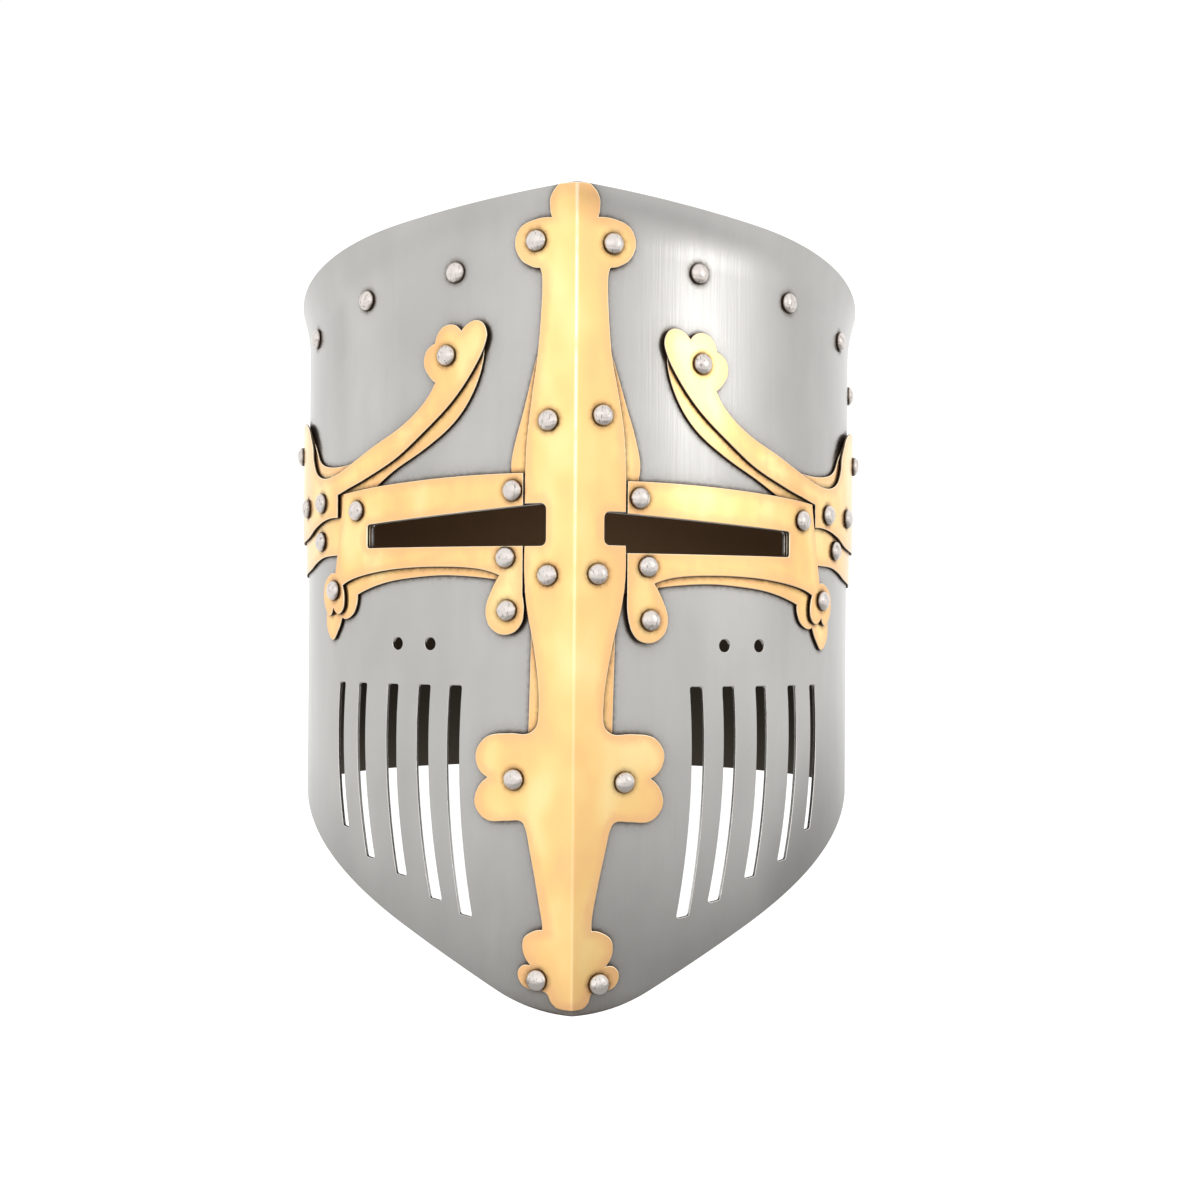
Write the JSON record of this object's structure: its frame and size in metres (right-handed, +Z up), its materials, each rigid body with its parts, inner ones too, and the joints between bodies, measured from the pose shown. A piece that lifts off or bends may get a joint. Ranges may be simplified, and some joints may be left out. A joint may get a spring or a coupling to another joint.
{
  "type": "pot helmet",
  "caption": "Flat-topped pot helmet of riveted steel plates with a ridged face, sight slots, breath slots and layered brass cross trim.",
  "frame": {"origin": "middle of the box's underside, on the surface the helm stands on", "axes": "+X to the right as seen from the front, -Y out of the front ridge towards the viewer, +Z up; names with left and right are as seen from the front; the helm leans back about 16 degrees so that its chin point and its nape both touch the surface"},
  "size_m": [0.2476, 0.3294, 0.304],
  "materials": {
    "steel": "satin brushed plate with faint vertical grain",
    "brass": "polished sheet with dark patina along its cut edges",
    "rivet_steel": "hammered dome heads, bright and lightly scratched"
  },
  "bodies": {
    "root": {"arm_underlay_left": "brass", "arm_underlay_right": "brass", "back_plate": "steel", "crown": "steel", "face_plate": "steel", "ridge_bar": "brass", "ridge_underlay": "brass", "rivet_arm_left": "rivet_steel", "rivet_arm_right": "rivet_steel", "rivet_branch_finial_left": "rivet_steel", "rivet_branch_finial_right": "rivet_steel", "rivet_branch_front_left": "rivet_steel", "rivet_branch_front_right": "rivet_steel", "rivet_branch_side_left": "rivet_steel", "rivet_branch_side_right": "rivet_steel", "rivet_branch_tip_left": "rivet_steel", "rivet_branch_tip_right": "rivet_steel", "rivet_brow_left": "rivet_steel", "rivet_brow_right": "rivet_steel", "rivet_chin_left": "rivet_steel", "rivet_chin_right": "rivet_steel", "rivet_cross_left": "rivet_steel", "rivet_cross_right": "rivet_steel", "rivet_forehead_left": "rivet_steel", "rivet_forehead_right": "rivet_steel", "rivet_frame_corner_left": "rivet_steel", "rivet_frame_corner_right": "rivet_steel", "rivet_frame_inner_left": "rivet_steel", "rivet_frame_inner_right": "rivet_steel", "rivet_frame_outer_left": "rivet_steel", "rivet_frame_outer_right": "rivet_steel", "rivet_frame_tab_left": "rivet_steel", "rivet_frame_tab_right": "rivet_steel", "rivet_frame_top_left": "rivet_steel", "rivet_frame_top_right": "rivet_steel", "rivet_nose_left": "rivet_steel", "rivet_nose_right": "rivet_steel", "rivet_ring_left_1": "rivet_steel", "rivet_ring_left_2": "rivet_steel", "rivet_ring_left_3": "rivet_steel", "rivet_ring_left_4": "rivet_steel", "rivet_ring_left_5": "rivet_steel", "rivet_ring_left_6": "rivet_steel", "rivet_ring_right_1": "rivet_steel", "rivet_ring_right_2": "rivet_steel", "rivet_ring_right_3": "rivet_steel", "rivet_ring_right_4": "rivet_steel", "rivet_ring_right_5": "rivet_steel", "rivet_ring_right_6": "rivet_steel", "rivet_seam_lower_left": "rivet_steel", "rivet_seam_lower_right": "rivet_steel", "rivet_seam_upper_left": "rivet_steel", "rivet_seam_upper_right": "rivet_steel", "rivet_temple_left": "rivet_steel", "rivet_temple_right": "rivet_steel", "side_branch_left": "brass", "side_branch_right": "brass", "sight_frame_left": "brass", "sight_frame_right": "brass"}
  },
  "joints": []
}
